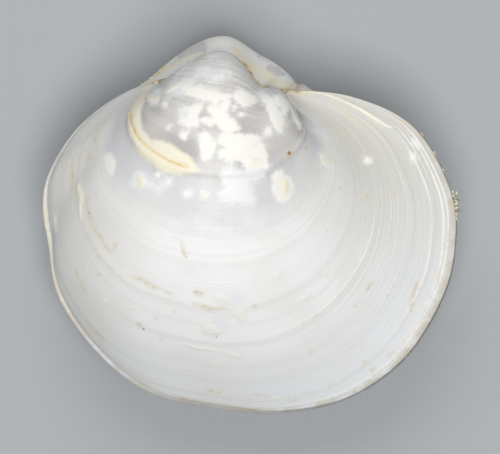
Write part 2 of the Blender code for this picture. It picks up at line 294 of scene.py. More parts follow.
# Milky haze
SOFT_WHITE = (
    ((-0.63, -2.41, 0.293), (-0.44, -2.56, 0.341), (-0.73, -2.8, 0.195), (-0.34, -2.85, 0.244)),
    ((-2.83, -2.46, 0.22), (-2.59, -2.56, 0.098)), (-2.15, -2.46, 0.107), (-1.66, -2.8, 0.107),
    ((-1.32, 0.17, 0.146), (-1.02, 0.02, 0.166), (-0.68, 0.06, 0.127)),
    ((-1.51, -0.07, 0.127), (-1.9, -0.27, 0.195), (-2.12, -0.37, 0.117)),
    ((-2.54, -0.49, 0.166), (-2.44, -0.32, 0.107)), ((-1.9, 0.12, 0.068), (-1.61, 0.37, 0.068)),
    ((-1.17, 0.54, 0.088), (-0.63, 0.61, 0.059)), ((-1.76, -0.8, 0.146), (-1.85, -1.0, 0.127)),
    ((0.05, -0.41, 0.088), (0.15, -0.32, 0.068)), ((-0.24, -2.37, 0.195), (0.05, -2.27, 0.146)),
    ((-0.93, -5.85, 0.244), (-1.05, -6.1, 0.244)), (-0.5, -5.37, 0.244),
    ((-2.39, -2.68, 0.098), (-2.15, -2.56, 0.085)), (-1.66, -2.77, 0.085), (-1.6, -4.57, 0.11),
    ((1.17, -1.07, 0.078), (1.41, -1.32, 0.098), (1.63, -1.46, 0.068)),
    ((3.8, -1.54, 0.078), (3.9, -1.66, 0.049)),
)
# Tan stains
STAIN = (
    ((-4.48, -2.24, 0.037), (-4.49, -2.44, 0.03), (-4.48, -2.67, 0.037)),
    ((-4.52, -1.83, 0.018), (-4.48, -2.26, 0.037), (-4.46, -2.44, 0.024)),
    ((-4.12, -2.88, 0.018), (-4.08, -3.17, 0.03), (-3.99, -3.51, 0.018), (-3.82, -3.79, 0.024),
     (-3.55, -4.2, 0.018)),
    (-3.9, -4.1, 0.024), (-3.82, -4.3, 0.024), (-3.85, -4.73, 0.03), (-4.23, -4.5, 0.024),
    ((-3.43, -4.0, 0.043), (-3.44, -4.13, 0.024)),
    ((-4.41, -4.65, 0.018), (-4.31, -4.88, 0.018), (-4.17, -5.21, 0.018)),
    ((-3.05, -4.76, 0.018), (-2.88, -4.83, 0.037), (-2.71, -4.91, 0.037), (-2.51, -5.03, 0.043),
     (-2.36, -5.06, 0.024), (-2.09, -5.2, 0.024)),
    ((-1.51, -5.15, 0.049), (-1.38, -5.18, 0.037)),
    ((-1.54, -5.41, 0.024), (-1.35, -5.49, 0.037), (-1.11, -5.56, 0.049), (-0.8, -5.54, 0.018)),
    (-2.87, -5.95, 0.067), (-2.02, -5.62, 0.037), (-2.45, -5.8, 0.03), (-2.35, -6.28, 0.024),
    ((-1.83, -3.95, 0.024), (-1.74, -4.27, 0.037)), (-1.01, -6.22, 0.03),
    ((-1.26, -7.59, 0.024), (-1.11, -7.61, 0.03), (-0.93, -7.63, 0.024)),
    ((-3.95, -6.15, 0.024), (-3.76, -6.31, 0.024), (-3.82, -6.4, 0.018)),
    ((-4.16, -5.85, 0.018), (-4.04, -6.1, 0.018)), (1.29, -6.63, 0.049), (2.34, -5.49, 0.037),
    (2.61, -6.9, 0.049), (2.8, -7.07, 0.055), ((3.22, -6.71, 0.049), (3.31, -6.63, 0.024)),
    (3.49, -5.83, 0.049),
    ((3.72, -5.6, 0.03), (3.76, -5.3, 0.043), (3.86, -5.0, 0.043), (3.9, -4.91, 0.024)),
    (-0.07, -5.49, 0.049), ((0.75, -7.84, 0.018), (0.91, -7.83, 0.024)),
    ((-0.1, -7.68, 0.018), (0.29, -7.71, 0.018)), ((2.74, -4.94, 0.024), (2.64, -5.11, 0.018)),
    (4.2, -4.2, 0.03), (4.21, -5.22, 0.03), ((4.41, -4.63, 0.024), (4.39, -4.91, 0.03)),
    ((3.52, -6.89, 0.03), (3.28, -7.07, 0.024)), ((2.43, -7.59, 0.055), (2.3, -7.65, 0.03)),
    (1.15, -1.69, 0.034), (1.98, -2.66, 0.024), (1.15, -1.68, 0.034), (0.74, -1.83, 0.098),
    ((1.76, -0.56, 0.015), (2.06, -0.76, 0.02), (2.34, -0.99, 0.02), (2.56, -1.23, 0.015)),
    ((1.86, -1.16, 0.015), (2.15, -1.41, 0.015)), (3.66, -2.49, 0.02), (3.73, -3.56, 0.02),
    (4.21, -2.88, 0.024), (3.22, -3.72, 0.024), (2.99, -2.94, 0.015), (4.63, -3.68, 0.029),
    ((3.32, -2.88, 0.015), (3.31, -2.68, 0.015)), ((2.66, -2.8, 0.015), (2.63, -2.98, 0.015)),
    ((-3.85, -1.11, 0.018), (-3.93, -1.52, 0.018), (-3.9, -1.66, 0.018)),
    ((-4.06, -1.83, 0.024), (-4.1, -2.01, 0.03)), ((-3.37, -0.98, 0.015), (-3.41, -1.34, 0.015)),
    (-3.05, -0.98, 0.037), (-1.84, -3.96, 0.018),
)
# The crease along the cream arc
CREASE = (
    ((-3.07, -0.91, 0.039), (-3.03, -1.12, 0.024), (-2.9, -1.4, 0.02), (-2.73, -1.6, 0.02),
     (-2.54, -1.75, 0.02), (-2.34, -1.88, 0.02), (-2.15, -2.0, 0.029), (-1.95, -2.08, 0.034),
     (-1.71, -2.15, 0.02)),
)
# Brown specks
SPECK = (
    (0.74, -1.82, 0.044), (-2.76, -6.05, 0.03), (-4.06, -3.26, 0.024), (-1.01, -6.23, 0.018),
    (4.41, -5.18, 0.024), (-4.07, -2.88, 0.018), (1.15, -1.69, 0.015), (3.5, -1.76, 0.015),
    (-1.71, -4.29, 0.018), (-1.11, -5.56, 0.018), (4.2, -4.2, 0.018), (1.98, -2.66, 0.015),
)
# On the left valve's beak, where it shows past the right one
LEFT_CHALK = (
    ((-1.15, 0.86, 0.107), (-0.93, 0.94, 0.137), (-0.63, 0.97, 0.146), (-0.37, 0.89, 0.137),
     (-0.15, 0.71, 0.117), (-0.09, 0.56, 0.078)),
)
LEFT_CREAM = (
    ((-0.63, 0.8, 0.068), (-0.51, 0.63, 0.117), (-0.35, 0.47, 0.137), (-0.2, 0.34, 0.127),
     (0.0, 0.26, 0.107), (0.17, 0.11, 0.137), (0.37, 0.0, 0.117), (0.59, -0.07, 0.078),
     (0.88, -0.12, 0.049), (1.27, -0.2, 0.039)),
    ((-2.73, -0.05, 0.049), (-2.49, 0.06, 0.068), (-2.24, 0.24, 0.068), (-1.95, 0.41, 0.059),
     (-1.66, 0.57, 0.049), (-1.32, 0.66, 0.039)),
)
LEFT_WINDOWS = (
    ((-1.9, 0.61, 0.098), (-1.71, 0.72, 0.146), (-1.51, 0.8, 0.156), (-1.33, 0.85, 0.117)),
    ((-1.29, 0.73, 0.068), (-1.37, 0.66, 0.049)), ((0.0, 0.62, 0.068), (-0.03, 0.68, 0.039)),
    ((0.27, 0.29, 0.098), (0.46, 0.2, 0.127), (0.61, 0.15, 0.059)),
    ((-1.9, 0.46, 0.068), (-2.1, 0.37, 0.049)),
)
LEFT_CREASE = (
    ((-0.44, 0.46, 0.015), (-0.32, 0.37, 0.039), (-0.22, 0.2, 0.049), (-0.11, -0.02, 0.059),
     (0.05, -0.2, 0.063), (0.24, -0.21, 0.059), (0.49, -0.24, 0.054), (0.78, -0.25, 0.049),
     (1.12, -0.25, 0.044), (1.46, -0.27, 0.029)),
)

CAMERA_ROLL = math.radians(4.5)
MARK_REACH = 0.25
CRUST_EDGE = (0.045, 0.3)
FINE_EDGE = (0.02, 0.12)
BEAK_EDGE = (0.03, 0.15)


def as_seen(points):
    """World points in mm as mm to the right of and above the hinge axis, as the camera sees them."""
    x = points[:, 0] - HINGE_AT.x
    y = points[:, 1] - HINGE_AT.y
    right = x * math.cos(CAMERA_ROLL) + y * math.sin(CAMERA_ROLL)
    up = -x * math.sin(CAMERA_ROLL) + y * math.cos(CAMERA_ROLL)
    return np.column_stack([right, up])


def depth_in(marks, at):
    """How deep in mm each point lies inside the nearest mark: negative outside, cut off a little way out."""
    deep = np.full(len(at), -MARK_REACH)
    for mark in marks:
        line = np.array(mark, ndmin=2)
        if len(line) == 1:
            line = np.vstack([line, line])
        for a, b in zip(line[:-1], line[1:]):
            step = b[:2] - a[:2]
            reach = max(step @ step, 1e-9)
            t = np.clip(((at - a[:2]) @ step) / reach, 0, 1)
            near = np.linalg.norm(at - (a[:2] + t[:, None] * step), axis=1)
            deep = np.maximum(deep, a[2] + t * (b[2] - a[2]) - near)
    return deep


# Without a seed the noise that moves the marks' edges would start from the clock
noise.seed_set(1)


def ruffled(points, amount, grain):
    """The seen places moved about by noise, so that the marks drawn on them get uneven edges."""
    shift = np.array([noise.noise_vector(Vector(p) / grain)[:2] for p in points])
    return as_seen(points) + amount * shift


def smooth(value):
    """0 up to 0 and 1 from 1 on, with soft ends between."""
    value = np.clip(value, 0, 1)
    return value * value * (3 - 2 * value)


# ---- the relief of the outside

def wander(shares, seed, waves=7):
    """A smooth random line from about -1 to 1 that closes on itself once round the shell."""
    draw = np.random.default_rng(seed)
    line = np.zeros_like(shares)
    for k in range(1, waves + 1):
        line += draw.normal() / k ** 0.7 * np.sin(2 * math.pi * k * shares + draw.uniform(0, 2 * math.pi))
    return line / 2


def share_gap(shares, middle):
    """How far each share is from the middle, the short way round."""
    return np.abs((shares - middle + 0.5) % 1 - 0.5)


def growth_stages():
    """The stages of the outside's rings: even turns in the beak, then closest at the cap's edge and late."""
    beak = np.geomspace(BEAK_START, 0.30, 40, endpoint=False)
    cap = np.linspace(0.30, 0.435, 32, endpoint=False)
    cap_edge = np.linspace(0.435, 0.47, 14, endpoint=False)
    middle = np.linspace(0.47, 0.74, 60, endpoint=False)
    late = np.linspace(0.74, 1.0, 130)
    return np.concatenate([beak, cap, cap_edge, middle, late])


def ledges(stages, shares, side):
    """Heights in mm of the ledges that the halts left, a little uneven round the shell."""
    height = np.zeros((len(stages), len(shares)))
    for n, (halt, lip) in enumerate(LEDGES):
        here = halt + LEDGE_WANDER * wander(shares, 10 + n + 5 * side)
        behind = stages[:, None] - here
        rise = np.where(behind <= 0, np.exp(np.minimum(behind, 0) / LEDGE_RUN), 0)
        drop = np.where(behind > 0, 1 - smooth(behind / LEDGE_DROP), 0)
        height += lip * (0.8 + 0.35 * wander(shares, 40 + n + 5 * side)) * (rise + drop)
    return height


def threads(stages, shares, side):
    """Heights in mm of the thin threads, and how much of a thread there is at each place, from 0 to 1."""
    height = np.zeros((len(stages), len(shares)))
    thread = np.zeros((len(stages), len(shares)))
    for n, (stage, lift, middle, reach) in enumerate(THREADS):
        here = stage + THREAD_WANDER * wander(shares, 80 + n + 7 * side)
        strength = np.exp(-(share_gap(shares, middle) / reach) ** 4)
        strength = strength * (0.7 + 0.5 * wander(shares, 120 + n, 30))
        profile = np.clip(strength, 0, 1) * np.exp(-((stages[:, None] - here) / THREAD_WIDTH) ** 2)
        height += lift * profile
        thread = np.maximum(thread, profile * min(1, lift / FULL_THREAD))
    return height, thread


def raised_marks(points):
    """Heights in mm of the ridge by the lunule, the crust of chalk and cream, and the crease in it."""
    at = as_seen(points)
    uneven = ruffled(points, *CRUST_EDGE)
    # Marks, where they are read, their height, how far outside they begin, and over what length they rise
    raised = (
        (RIDGE, at, 0.05, 0.02, 0.08),
        (CHALK, uneven, 0.012, 0.02, 0.08),
        (CREAM, uneven, 0.030, 0.02, 0.16),
        (CREASE, at, -0.022, 0.03, 0.05),
    )
    return sum(height * smooth((depth_in(marks, where) + outside) / rise)
               for marks, where, height, outside, rise in raised)


# Crusts fade where the shell faces sideways, and nothing is raised in the last stages, where the inside joins
FACES_SIDEWAYS = 0.2
LAST_STAGES = 0.004


def with_relief(grid, stages, shares, side):
    """The grid raised along its outward normals by its ledges, threads and crusts, and its threads."""
    growth = np.gradient(grid, stages, axis=0)
    along = np.roll(grid, -1, axis=1) - np.roll(grid, 1, axis=1)
    along /= np.linalg.norm(along, axis=2, keepdims=True)
    out = side * np.cross(along, growth)
    pace = np.linalg.norm(out, axis=2)
    out /= pace[:, :, None]
    height, thread = threads(stages, shares, side)
    height = (height + ledges(stages, shares, side)) * np.clip(pace / LEDGE_PACE, 0, 1)
    if side > 0:
        up = out[:, :, 1] * math.sin(TILT) + out[:, :, 2] * math.cos(TILT)
        points = to_world(grid.reshape(-1, 3))
        height += raised_marks(points).reshape(height.shape) * np.clip(up / FACES_SIDEWAYS, 0, 1)
    height *= np.clip((1 - stages) / LAST_STAGES, 0, 1)[:, None]
    return grid + height[:, :, None] * out, thread


# ---- meshes of the valves

def to_world(points):
    """Shell frame to world, in mm."""
    turn = np.array(Matrix.Rotation(TILT, 3, "X"))
    return points @ turn.T + np.array(HINGE_AT)


def grid_faces(rows, columns):
    """Quads between neighbouring rings, with a fan to a pole at each end, and each corner's share and row."""
    faces = []
    corners = []
    for i in range(rows - 1):
        for j in range(columns):
            k = (j + 1) % columns
            faces.append((i * columns + j, i * columns + k, (i + 1) * columns + k, (i + 1) * columns + j))
            corners.append(((j, i), (j + 1, i), (j + 1, i + 1), (j, i + 1)))
    first = rows * columns
    last = (rows - 1) * columns
    for j in range(columns):
        k = (j + 1) % columns
        faces.append((first, k, j))
        corners.append(((j, 0), (j + 1, 0), (j, 0)))
        faces.append((first + 1, last + j, last + k))
        corners.append(((j, rows - 1), (j, rows - 1), (j + 1, rows - 1)))
    return faces, corners


def new_object(name, data):
    """A new object with its data, in the scene."""
    made = bpy.data.objects.new(name, data)
    bpy.context.scene.collection.objects.link(made)
    return made


def mark(valve, name, values):
    """Stores a value for each point, which the materials read by its name."""
    valve.data.attributes.new(name, "FLOAT", "POINT").data.foreach_set("value", values.astype(np.float32))


# The crevice's dirt: how strong it is by x, how far off it ends, and the lowest y that it reaches
CREVICE_ALONG = (
    (-3.4, 0), (-3.0, 0.7), (-1.9, 0.7), (-1.0, 0.3), (-0.5, 0.5), (-0.2, 1), (1.0, 1), (1.6, 0),
)
CREVICE_REACH = 0.15
CREVICE_LOWEST = -1.3


def crevice_nearness(points):
    """1 in the crevice between the valves' hinge sides, and 0 away from it."""
    near = np.clip(1 - np.abs(points[:, 2]) / CREVICE_REACH, 0, 1)
    along = np.interp(points[:, 0], *np.array(CREVICE_ALONG).T)
    return near * along * (points[:, 1] > CREVICE_LOWEST)


# The last growth: the stage at which it begins, and the run of stages until it is full. Then the same for the
# shares at the front and rear end of the hinge, where there is none.
LAST_GROWTH = (0.984, 0.014)
HINGE_FRONT = (0.03, 0.05)
HINGE_REAR = (0.95, -0.04)


def late_edge(stages, shares):
    """1 at the margin's last growth and 0 before it and at the hinge."""
    late, front, rear = (smooth((value - start) / run) for value, (start, run) in (
        (stages[:, None], LAST_GROWTH), (shares, HINGE_FRONT), (shares, HINGE_REAR)))
    return late * (front * rear)


def build_valve(name, side):
    """A closed valve: the outside from the beak to the margin, then the inside back to its vault.

    Returns it with its points in world mm and the stage of each ring point.
    """
    shares = way_round(COLUMNS)
    stages = growth_stages()
    outside = np.array([place(*ring(stage, shares, side), stage, side) for stage in stages])
    outside, thread = with_relief(outside, stages, shares, side)
    inside = np.array([hollow_ring(stage, shares, side) for stage in HOLLOW_STAGES])
    rings = np.concatenate([outside, inside])
    rows = len(rings)
    poles = np.array([pole(BEAK_TIP, side), pole(VAULT_END, side)])
    points = np.vstack([rings.reshape(-1, 3), poles])
    world = to_world(points)
    # The small flat that the left valve rests on
    world[:, 2] = np.maximum(world[:, 2], 0)
    faces, corners = grid_faces(rows, COLUMNS)
    if side < 0:
        faces = [face[::-1] for face in faces]
        corners = [corner[::-1] for corner in corners]
    mesh = bpy.data.meshes.new(name)
    mesh.from_pydata((world * MM).tolist(), [], faces)
    row_stage = np.concatenate([stages, np.full(len(inside), 1.0)])
    edge_share = np.append(shares, 1.0)
    growth = mesh.uv_layers.new(name="Growth")
    flat = np.array([(edge_share[j], row_stage[i]) for corner in corners for j, i in corner], np.float32)
    growth.data.foreach_set("uv", flat.ravel())
    mesh.shade_smooth()
    valve = new_object(name, mesh)
    unthreaded = np.zeros(len(points) - thread.size)
    mark(valve, "thread", np.concatenate([thread.ravel(), unthreaded]))
    mark(valve, "edge", np.concatenate([late_edge(stages, shares).ravel(), unthreaded]))
    mark(valve, "crevice", crevice_nearness(points))
    return valve, world, row_stage.repeat(COLUMNS)


def facing(valve):
    """How far up each point of the valve faces, from -1 to 1."""
    normals = np.zeros(len(valve.data.vertices) * 3)
    valve.data.vertices.foreach_get("normal", normals)
    return normals.reshape(-1, 3)[:, 2]


def right_marks(valve, points):
    faces_up = facing(valve) > 0
    uneven = ruffled(points, *CRUST_EDGE)
    rough = ruffled(points, *FINE_EDGE)
    for name, marks, where in (
        ("chalk", CHALK, uneven), ("cream", CREAM, uneven), ("ridge", RIDGE, rough),
        ("soft_white", SOFT_WHITE, uneven), ("stain", STAIN, rough), ("crease", CREASE, rough),
        ("speck", SPECK, as_seen(points)), ("window", (), rough),
    ):
        mark(valve, name, np.where(faces_up, depth_in(marks, where), -MARK_REACH))


def scattered(points, seed, size, cover):
    """A field in mm that rises above 0 in scattered rounded patches."""
    offset = Vector((seed * 7.3, seed * 3.1, seed * 5.7))
    field = np.array([noise.fractal(Vector(p) / size + offset, 0.6, 2.0, 3) for p in points])
    return np.clip((field - cover) * size, -MARK_REACH, MARK_REACH)


# The left valve's beak: how far in mm it reaches below the hinge axis, how low it comes above the floor, and
# how far down its surface may face before its marks end
BEAK_BELOW = 0.5
BEAK_LOWEST = 1.2
TURNED_UNDER = 0.5
# The stage up to which the left valve has turned chalky, and the run over which that ends
CHALKY_TO = 0.38
CHALKY_RUN = 0.12


def left_marks(valve, points, stages):
    """Its beak's own marks where it shows past the right valve, and marks scattered over the rest."""
    seen = ruffled(points, *BEAK_EDGE)
    under = MARK_REACH * smooth(-facing(valve) / TURNED_UNDER)
    on_beak = (points[:, 1] > HINGE_AT.y - BEAK_BELOW) & (points[:, 2] > BEAK_LOWEST) & (under < MARK_REACH)
    unmarked = np.full(len(points), -MARK_REACH)
    young = np.append(MARK_REACH * smooth((stages - CHALKY_TO) / CHALKY_RUN), (0, MARK_REACH))
    cream = np.where(on_beak, depth_in(LEFT_CREAM, seen) - under, scattered(points, 2, 0.6, 0.85) - young)
    mark(valve, "cream", np.maximum(cream, unmarked))
    for name, marks, elsewhere in (
        ("window", LEFT_WINDOWS, unmarked), ("crease", LEFT_CREASE, unmarked),
        ("chalk", LEFT_CHALK, scattered(points, 1, 0.7, 0.10) - young),
    ):
        mark(valve, name, np.where(on_beak, depth_in(marks, seen) - under, elsewhere))
    mark(valve, "soft_white", np.where(on_beak, 0.1, scattered(points, 3, 1.3, 0.25)))
    mark(valve, "stain", scattered(points, 4, 0.35, 0.78))
    mark(valve, "speck", scattered(points, 5, 0.12, 1.0))
    mark(valve, "ridge", unmarked)


# ---- materials

def linear(code):
    """An sRGB hex colour as linear red, green, blue and alpha."""
    values = [int(code[i:i + 2], 16) / 255 for i in (0, 2, 4)]
    return [v / 12.92 if v <= 0.04045 else ((v + 0.055) / 1.055) ** 2.4 for v in values] + [1.0]


def add(tree, kind, sockets, output=None, **settings):
    """Adds a node with its settings, sets or links its sockets, and returns the output that is asked for."""
    made = tree.nodes.new(kind)
    for name, value in settings.items():
        setattr(made, name, value)
    for key, value in sockets.items():
        if isinstance(key, str):
            socket = next(s for s in made.inputs if s.enabled and s.name == key)
        else:
            socket = made.inputs[key]
        if isinstance(value, bpy.types.NodeSocket):
            tree.links.new(value, socket)
        else:
            socket.default_value = value
    if output:
        return made.outputs[output]
    return next((s for s in made.outputs if s.enabled), None)


def new_material(name):
    made = bpy.data.materials.new(name)
    made.use_nodes = True
    return made, made.node_tree, made.node_tree.nodes["Principled BSDF"]


def in_mm(tree):
    """The place on the piece, in mm."""
    metres = add(tree, "ShaderNodeTexCoord", {}, "Object")
    return add(tree, "ShaderNodeVectorMath", {0: metres, "Scale": 1 / MM}, operation="SCALE")


def covering(tree, *fields):
    """The product of the fields. One given with a start and an end rises softly from 0 to 1 between them, or
    to its most if it has one."""
    product = None
    for field in fields:
        if isinstance(field, tuple):
            value, start, end, *most = field
            field = add(tree, "ShaderNodeMapRange",
                        {"Value": value, "From Min": start, "From Max": end, "To Max": (most or [1.0])[0]},
                        interpolation_type="SMOOTHSTEP")
        if product is None:
            product = field
        else:
            product = add(tree, "ShaderNodeMath", {0: product, 1: field}, operation="MULTIPLY")
    return product


def lay(tree, ground, *layers):
    """Colours laid over the ground one after another, each as far as its fields cover it."""
    for colour, *fields in layers:
        ground = add(tree, "ShaderNodeMix",
                     {"Factor": covering(tree, *fields), "A": ground, "B": linear(colour)}, data_type="RGBA")
    return ground


def broken_edge(tree, name, coarse, fine, sway):
    """An attribute's depth in mm with its edge moved in and out by the coarse and fine noise."""
    depth = add(tree, "ShaderNodeAttribute", {}, "Fac", attribute_name=name)
    moved = add(tree, "ShaderNodeMath", {0: coarse, 1: 0.7 * sway, 2: depth}, operation="MULTIPLY_ADD")
    moved = add(tree, "ShaderNodeMath", {0: fine, 1: 0.6 * sway, 2: moved}, operation="MULTIPLY_ADD")
    return add(tree, "ShaderNodeMath", {0: moved, 1: 0.65 * sway}, operation="SUBTRACT")


def aragonite(name, colours):
    """Aragonite of a small shell, laid down by the mantle edge ring by ring and a little worn.

    To the eye it is a milky white with a soft satin gloss, grey and see-through where the old shell is thin,
    and dull chalky white where it has turned opaque. Fine radial riblets cross fine growth lines.
    """
    made, tree, shader = new_material(name)
    growth = add(tree, "ShaderNodeUVMap", {}, uv_map="Growth")
    parts = add(tree, "ShaderNodeSeparateXYZ", {"Vector": growth}, "X").node
    way, stage = parts.outputs["X"], parts.outputs["Y"]
    mm = in_mm(tree)

    # Noises: clouds of 2 mm, mottling of 0.4 mm, ragged edges of 0.1 mm, and grain of 0.03 mm
    clouds, mottle, ragged, grain = (
        add(tree, "ShaderNodeTexNoise", {"Vector": mm, "Scale": scale, "Detail": detail, "Roughness": rough})
        for scale, detail, rough in (
            (0.5, 2.0, 0.5), (2.5, 3.0, 0.6), (10.0, 4.0, 0.65), (33.0, 2.0, 0.5)))

    # Growth lines 0.07 mm and 0.25 mm apart, which the noise bends a little
    bent = add(tree, "ShaderNodeMath", {0: clouds, 1: 0.02, 2: stage}, operation="MULTIPLY_ADD")
    fine_lines = add(tree, "ShaderNodeTexNoise", {"W": bent, "Scale": 120.0, "Detail": 2.0, "Roughness": 0.7},
                     noise_dimensions="1D")
    broad_lines = add(tree, "ShaderNodeTexNoise", {"W": bent, "Scale": 34.0, "Detail": 2.0},
                      noise_dimensions="1D")

    # Riblets 0.11 mm apart at the margin, half as many after each of two steps back towards the beak
    riblets = []
    for count in (66, 132, 264):
        turns = add(tree, "ShaderNodeMath", {0: way, 1: 2 * math.pi * count, 2: mottle},
                    operation="MULTIPLY_ADD")
        riblets.append(add(tree, "ShaderNodeMath", {0: turns}, operation="SINE"))
    ribbing = riblets[0]
    for finer, start, end in ((riblets[1], 0.20, 0.32), (riblets[2], 0.46, 0.66)):
        ribbing = add(tree, "ShaderNodeMix",
                      {"Factor": covering(tree, (stage, start, end)), "A": ribbing, "B": finer},
                      data_type="FLOAT")
    # They are worn flat in places
    ribbing = covering(tree, ribbing, (clouds, 0.40, 0.62))

    here = add(tree, "ShaderNodeMath", {0: mottle, 1: 0.05, 2: stage}, operation="MULTIPLY_ADD")
    soft, window, chalky, creamy, ridge, stain, crease = (
        broken_edge(tree, mark_name, mottle, ragged, sway) for mark_name, sway in (
            ("soft_white", 0.35), ("window", 0.06), ("chalk", 0.24), ("cream", 0.09), ("ridge", 0.03),
            ("stain", 0.09), ("crease", 0.04)))
    speck = broken_edge(tree, "speck", ragged, grain, 0.02)
    chalk = covering(tree, (chalky, -0.045, 0.055))
    cream = covering(tree, (creamy, -0.05, 0.07))
    thread, crevice, edge = (
        add(tree, "ShaderNodeAttribute", {}, "Fac", attribute_name=field)
        for field in ("thread", "crevice", "edge"))
    crevice = add(tree, "ShaderNodeMath", {0: ragged, 1: 0.25, 2: crevice}, operation="MULTIPLY_ADD")

    ground = lay(
        tree, linear(colours["cap"]),
        # Grey and thin on the cap, a bluish band below it, then milky white
        (colours["band"], (here, 0.45, 0.51)),
        (colours["body"], (here, 0.52, 0.62)),
        (colours["late"], (here, 0.78, 0.95)),
        (colours["warm"], (clouds, 0.42, 0.62, 0.45)),
        # Greyish tan by the front of the hinge, and towards the rear: partly thin shell, and partly painted
        # shade on these slopes, which face away from the light
        (colours["thin_and_shaded"], (way, 0.34, 0.12), (here, 0.52, 0.78, 0.9)),
        (colours["thin_and_shaded"], (way, 0.48, 0.74), (here, 0.50, 0.68, 0.55)),
        (colours["line"], (broad_lines, 0.45, 0.70, 0.28)),
        ("f4f4f3", (ribbing, 0.0, 1.0, 0.05)),
        # The young shell is milky, with whiter lines of growth
        ("dbdad7", (stage, 0.40, 0.24, 0.5)),
        ("eeeeec", (stage, 0.42, 0.26), (fine_lines, 0.40, 0.70), (mottle, 0.30, 0.65, 0.7)),
        # Marks: milky haze, clear windows, chalk with its haze, cream and the ridge
        ("e9eaeb", (soft, -0.10, 0.12, 0.8)),
        ("bfbdba", (window, -0.03, 0.04, 0.7)),
        ("e9e8e4", (chalky, -0.11, 0.02, 0.5)),
        ("edebe5", chalk),
        ("eae5d1", cream),
        ("ebe5d5", (ridge, -0.02, 0.03)),
        # Threads are cream, and tan dirt is caught along them in places
        ("f5f1e6", (thread, 0.15, 0.9, 0.75)),
        ("c9b48b", (ragged, 0.52, 0.66), (thread, 0.05, 0.45, 0.4)),
        # Stains with their streaks, the creases and the specks
        ("ddd1b6", (stain, -0.07, 0.0, 0.3)),
        ("c2ab7c", (stain, -0.015, 0.03), (ragged, 0.36, 0.62, 0.38)),
        ("e6d3a2", (crease, -0.06, 0.01, 0.7)),
        ("b28a48", (crease, 0.0, 0.035), (mottle, 0.40, 0.62, 0.8)),
        ("9a621c", (speck, -0.02, 0.02, 0.9)),
        # The crevice between the valves, with dirt deep in it
        (colours["crevice"], (crevice, 0.35, 1.0, 0.7)),
        (colours["deep"], (crevice, 0.80, 1.08, 0.9)),
        # The last growth at the margin
        (colours["edge"], edge, (mottle, 0.35, 0.6, 0.75)),
    )

    dull = add(tree, "ShaderNodeMath", {0: chalk, 1: cream}, operation="MAXIMUM")
    gloss = add(tree, "ShaderNodeMapRange", {"Value": dull, "To Min": 0.48, "To Max": 0.68})
    # The relief that is too fine for the mesh. One unit of height is 5 micrometres.
    height = fine_lines
    for part, amount in ((ribbing, 0.09), (dull, 0.5), (grain, 0.3)):
        height = add(tree, "ShaderNodeMath", {0: part, 1: amount, 2: height}, operation="MULTIPLY_ADD")
    bumped = add(tree, "ShaderNodeBump", {"Height": height, "Distance": 0.005 * MM, "Strength": 1.0})

    tree.links.new(ground, shader.inputs["Base Color"])
    tree.links.new(gloss, shader.inputs["Roughness"])
    tree.links.new(bumped, shader.inputs["Normal"])
    shader.inputs["IOR"].default_value = 1.53
    # Light goes about 0.3 mm into it
    shader.inputs["Subsurface Weight"].default_value = 0.25
    shader.inputs["Subsurface Radius"].default_value = (0.35, 0.32, 0.28)
    shader.inputs["Subsurface Scale"].default_value = MM
    return made


def conchiolin(name, dark, middle):
    """Dried conchiolin of the ligament: tan to brown, in fibres along the band, dull and a little flaky."""
    made, tree, shader = new_material(name)
    mm = in_mm(tree)
    # Fibres 0.05 mm wide and 0.45 mm long, and flakes of 0.1 mm
    along = add(tree, "ShaderNodeMapping", {"Vector": mm, "Scale": (1.0, 9.0, 9.0)})
    fibres = add(tree, "ShaderNodeTexNoise", {"Vector": along, "Scale": 2.2, "Detail": 4.0})
    flakes = add(tree, "ShaderNodeTexNoise", {"Vector": mm, "Scale": 9.0, "Detail": 2.0})
    colour = lay(tree, linear(dark), (middle, (fibres, 0.35, 0.65)), ("e6dcc4", (flakes, 0.50, 0.60)))
    bumped = add(tree, "ShaderNodeBump", {"Height": fibres, "Distance": 0.03 * MM, "Strength": 0.8})
    tree.links.new(colour, shader.inputs["Base Color"])
    tree.links.new(bumped, shader.inputs["Normal"])
    shader.inputs["Roughness"].default_value = 0.6
    shader.inputs["IOR"].default_value = 1.5
    return made


def quartz_sand(name):
    """Fine quartz sand stuck to the margin: olive to clear grains with a sharp small gloss."""
    made, tree, shader = new_material(name)
    metres = add(tree, "ShaderNodeTexCoord", {}, "Object")
    # Patches of 0.07 mm, so that a grain has one or two
    patches = add(tree, "ShaderNodeTexNoise", {"Vector": metres, "Scale": 14000.0, "Detail": 1.0})
    colour = lay(tree, linear("8a8562"), ("dcd8c4", (patches, 0.38, 0.60)))
    tree.links.new(colour, shader.inputs["Base Color"])
    shader.inputs["Roughness"].default_value = 0.3
    shader.inputs["IOR"].default_value = 1.54
    return made


def paper_floor(name):
    """Matt pale grey card, which the white shell stands out from."""
    made, _, shader = new_material(name)
    shader.inputs["Base Color"].default_value = linear("a2a5a8")
    shader.inputs["Roughness"].default_value = 0.9
    return made


# ---- the smaller pieces

# The ligament's path from behind the beaks along the hinge margin, as x and y in mm, its half-thickness in
# the middle, how flat it is, and how much of its thickness is left at the ends
LIGAMENT_MM = (
    (-0.95, -0.13), (-1.20, -0.15), (-1.50, -0.19), (-1.85, -0.26), (-2.20, -0.34), (-2.55, -0.45),
    (-2.80, -0.55), (-3.00, -0.65),
)
LIGAMENT_RADIUS = 0.21
LIGAMENT_SQUEEZE = 0.7
LIGAMENT_ENDS = 0.35


